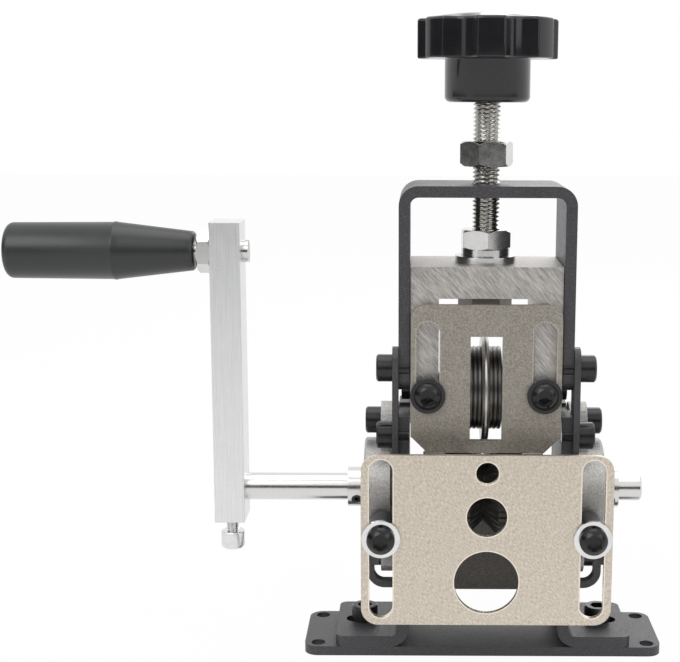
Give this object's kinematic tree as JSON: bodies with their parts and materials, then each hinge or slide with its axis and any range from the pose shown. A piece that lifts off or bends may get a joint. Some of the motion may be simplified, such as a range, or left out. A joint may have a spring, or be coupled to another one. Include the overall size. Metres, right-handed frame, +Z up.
{
  "type": "hand crank wire stripper",
  "caption": "Bench cable stripper: cranked grooved roller under a round blade that a star knob presses down, in a steel frame with slotted guide plates.",
  "frame": {"origin": "centre of the four base holes, on the base plate's bottom face", "axes": "+Z up along the press screw; the cable goes in along +Y from the front at -Y; +X along the drive shaft, away from the crank"},
  "size_m": [0.2397, 0.0663, 0.233],
  "materials": {
    "powder_coat": "fine satin powder coat",
    "black_oxide": "black oxide, slightly oily",
    "seal_rubber": "moulded rubber",
    "cast_zinc": "bead blasted die casting",
    "bright_steel": "ground",
    "roller_steel": "dark hardened steel",
    "arm_aluminium": "brushed along its length",
    "chrome": "bright plated",
    "zinc_plate": "bright zinc plated",
    "grip_plastic": "satin moulded",
    "block_metal": "coarse milled",
    "knob_plastic": "gloss moulded",
    "blade_steel": "ground",
    "guard_steel": "brushed, warm grey",
    "guide_steel": "brushed, pale nickel"
  },
  "bodies": {
    "root": {"base_plate": "powder_coat", "left_leg": "powder_coat", "right_leg": "powder_coat", "rear_plate": "powder_coat", "foot_screws": "black_oxide", "top_bracket": "powder_coat", "left_link": "powder_coat", "right_link": "powder_coat", "link_screws": "black_oxide", "left_bearing_housing": "cast_zinc", "right_bearing_housing": "cast_zinc", "bearing_outer_rings": "bright_steel", "bearing_balls": "bright_steel", "bearing_seals": "seal_rubber", "flange_screws": "black_oxide", "left_guide_bracket": "powder_coat", "right_guide_bracket": "powder_coat", "guide_screws": "black_oxide", "guide_washers": "chrome", "guide_spring_washers": "black_oxide"},
    "crank": {"drive_shaft": "bright_steel", "drive_roller": "roller_steel", "roller_set_screw": "black_oxide", "left_inner_ring": "bright_steel", "right_inner_ring": "bright_steel", "ring_set_screws": "black_oxide", "crank_arm": "arm_aluminium", "crank_clamp_screw": "chrome", "handle_stud": "zinc_plate", "handle_nut": "zinc_plate"},
    "grip": {"handle_grip": "grip_plastic"},
    "press": {"press_block": "block_metal", "blade_axle": "black_oxide", "axle_screw": "black_oxide", "blade_spacers": "bright_steel", "guard_screws": "black_oxide", "guard_washers": "black_oxide"},
    "knob": {"press_screw": "zinc_plate", "star_knob": "knob_plastic", "lower_nut": "zinc_plate", "spring_washer": "zinc_plate", "flat_washer": "zinc_plate", "retaining_nut": "zinc_plate"},
    "lock_nut_body": {"lock_nut": "zinc_plate"},
    "blade": {"blade_disc": "blade_steel", "left_side_roller": "roller_steel", "right_side_roller": "roller_steel"},
    "guard": {"guard_plate": "guard_steel"},
    "guide": {"guide_plate": "guide_steel"}
  },
  "joints": [
    {"name": "crank_spin", "type": "hinge", "parent": "root", "child": "crank", "pos_m": [0, 0, 0.0596], "axis": [1, 0, 0], "continuous": true},
    {"name": "grip_spin", "type": "hinge", "parent": "crank", "child": "grip", "pos_m": [-0.14, 0, 0.148], "axis": [1, 0, 0], "continuous": true},
    {"name": "press_slide", "type": "slide", "parent": "root", "child": "press", "axis": [0, 0, 1], "range_m": [-0.003, 0.012]},
    {"name": "knob_turn", "type": "hinge", "parent": "press", "child": "knob", "pos_m": [0, 0, 0.2], "axis": [0, 0, 1], "range_deg": [-720.5, 2880.5]},
    {"name": "lock_nut_travel", "type": "slide", "parent": "knob", "child": "lock_nut_body", "axis": [0, 0, 1], "range_m": [-0.003, 0.0125]},
    {"name": "blade_spin", "type": "hinge", "parent": "press", "child": "blade", "pos_m": [0, 0, 0.0977], "axis": [1, 0, 0], "continuous": true},
    {"name": "guard_slide", "type": "slide", "parent": "press", "child": "guard", "axis": [0, 0, 1], "range_m": [-0.007, 0]},
    {"name": "guide_slide", "type": "slide", "parent": "root", "child": "guide", "axis": [0, 0, 1], "range_m": [-0.019, 0.025]}
  ],
  "couplings": [
    {"joint": "knob_turn", "follows": "press_slide", "rad_per_m": 4188.8}
  ]
}
